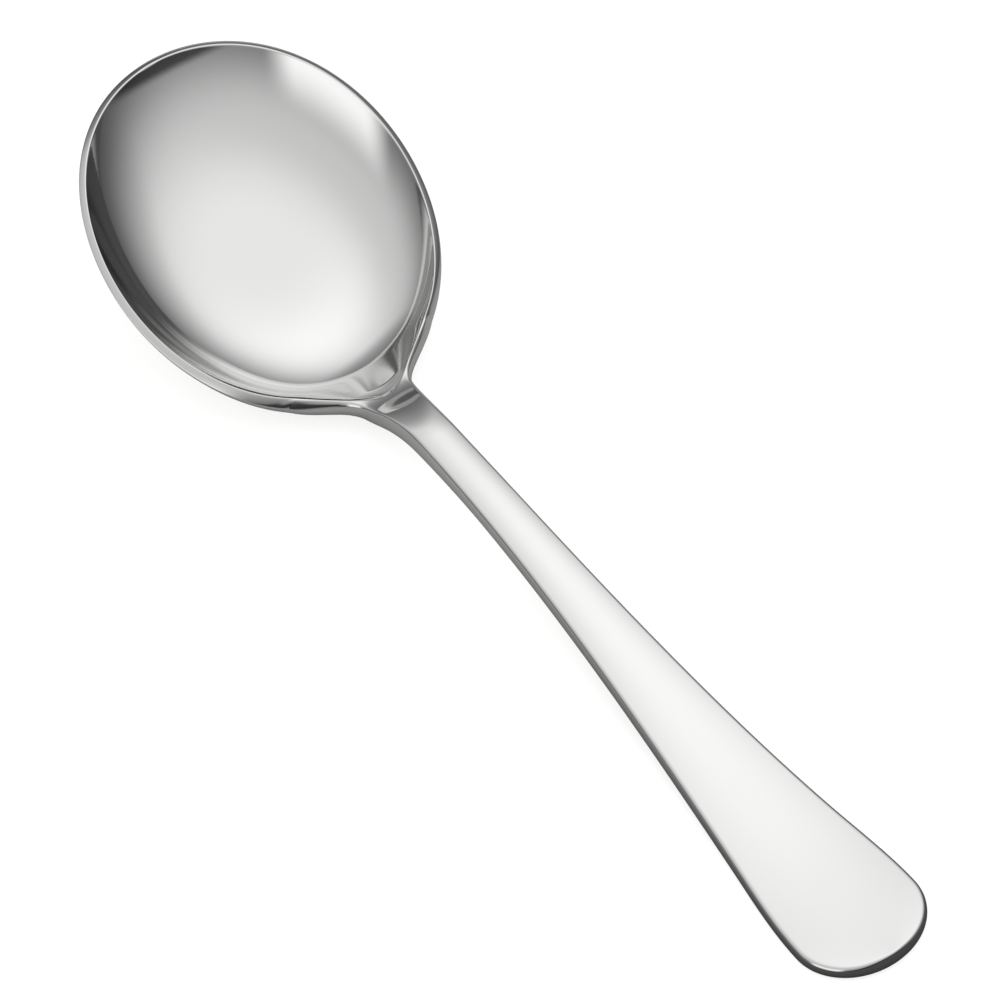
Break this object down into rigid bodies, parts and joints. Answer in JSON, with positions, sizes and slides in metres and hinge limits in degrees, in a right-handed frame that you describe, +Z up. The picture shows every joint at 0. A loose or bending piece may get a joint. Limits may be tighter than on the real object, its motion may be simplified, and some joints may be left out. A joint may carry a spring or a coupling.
{
  "type": "soup spoon",
  "caption": "Soup spoon in polished stainless steel: round bowl, thick forged neck, narrow stem and a plain handle that widens to a rounded end.",
  "frame": {"origin": "on the table, under the middle of the spoon's length and width", "axes": "+X from the bowl's tip to the handle's end, +Y across the spoon, +Z up out of the bowl's hollow as the spoon lies on a table"},
  "size_m": [0.175, 0.049, 0.0226],
  "materials": {
    "polished_steel": "polished"
  },
  "bodies": {
    "root": {"bowl": "polished_steel", "neck": "polished_steel", "stem": "polished_steel", "handle_end": "polished_steel"}
  },
  "joints": []
}
